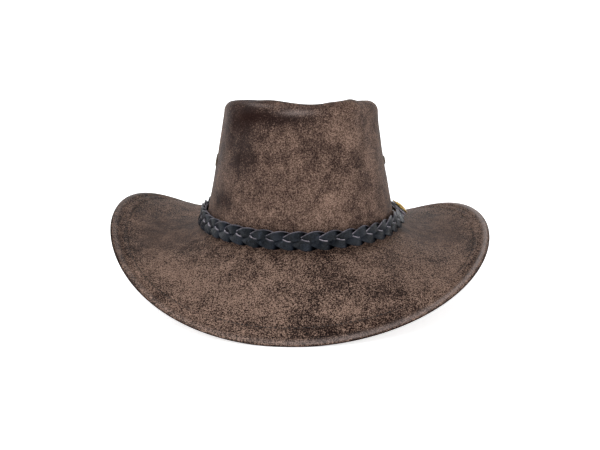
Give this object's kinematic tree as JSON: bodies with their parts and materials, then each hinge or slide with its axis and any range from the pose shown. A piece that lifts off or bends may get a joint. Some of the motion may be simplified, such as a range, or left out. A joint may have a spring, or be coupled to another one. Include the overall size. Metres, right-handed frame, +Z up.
{
  "type": "cowboy hat",
  "caption": "Wide-brimmed leather cowboy hat with a creased crown, side-curled brim, braided leather band and a brass stud.",
  "frame": {"origin": "on the surface the hat stands on, under the middle of the brim", "axes": "+Z up out of the crown, the front of the hat faces -Y, the wearer's left is +X"},
  "size_m": [0.3642, 0.3608, 0.1912],
  "materials": {
    "hat_leather": "distressed two-tone brown, waxed",
    "lining_leather": "matte brown suede side",
    "band_leather": "semi-gloss black with raw grey edges",
    "sweat_leather": "smooth dark brown",
    "thread": "dark waxed thread",
    "spring_steel": "drawn wire",
    "brass": "antique, polished high spots",
    "reed": "matte"
  },
  "bodies": {
    "hat": {"crown": "hat_leather", "brim_top": "hat_leather", "brim_under": "lining_leather", "brim_wire": "spring_steel", "hem_thread": "thread", "wire_ferrule": "brass", "sweatband": "sweat_leather", "sweatband_reed": "reed", "sweatband_seam_tab": "sweat_leather", "eyelet_left_front": "brass", "eyelet_washer_left_front": "brass", "eyelet_left_rear": "brass", "eyelet_washer_left_rear": "brass", "eyelet_right_front": "brass", "eyelet_washer_right_front": "brass", "eyelet_right_rear": "brass", "eyelet_washer_right_rear": "brass"},
    "band": {"braid_strand_a": "band_leather", "braid_strand_b": "band_leather", "braid_strand_c": "band_leather", "band_tab_front": "band_leather", "band_tab_rear": "band_leather"},
    "stud": {"stud_cap": "brass", "stud_screw": "brass"}
  },
  "joints": [
    {"name": "band_lift", "type": "slide", "parent": "hat", "child": "band", "axis": [0, 0, 1], "range_m": [0, 0.14]},
    {"name": "stud_spin", "type": "hinge", "parent": "band", "child": "stud", "pos_m": [0.09681, 0.00262, 0.07334], "axis": [0.6598, 0.05, 0.7498], "continuous": true}
  ]
}
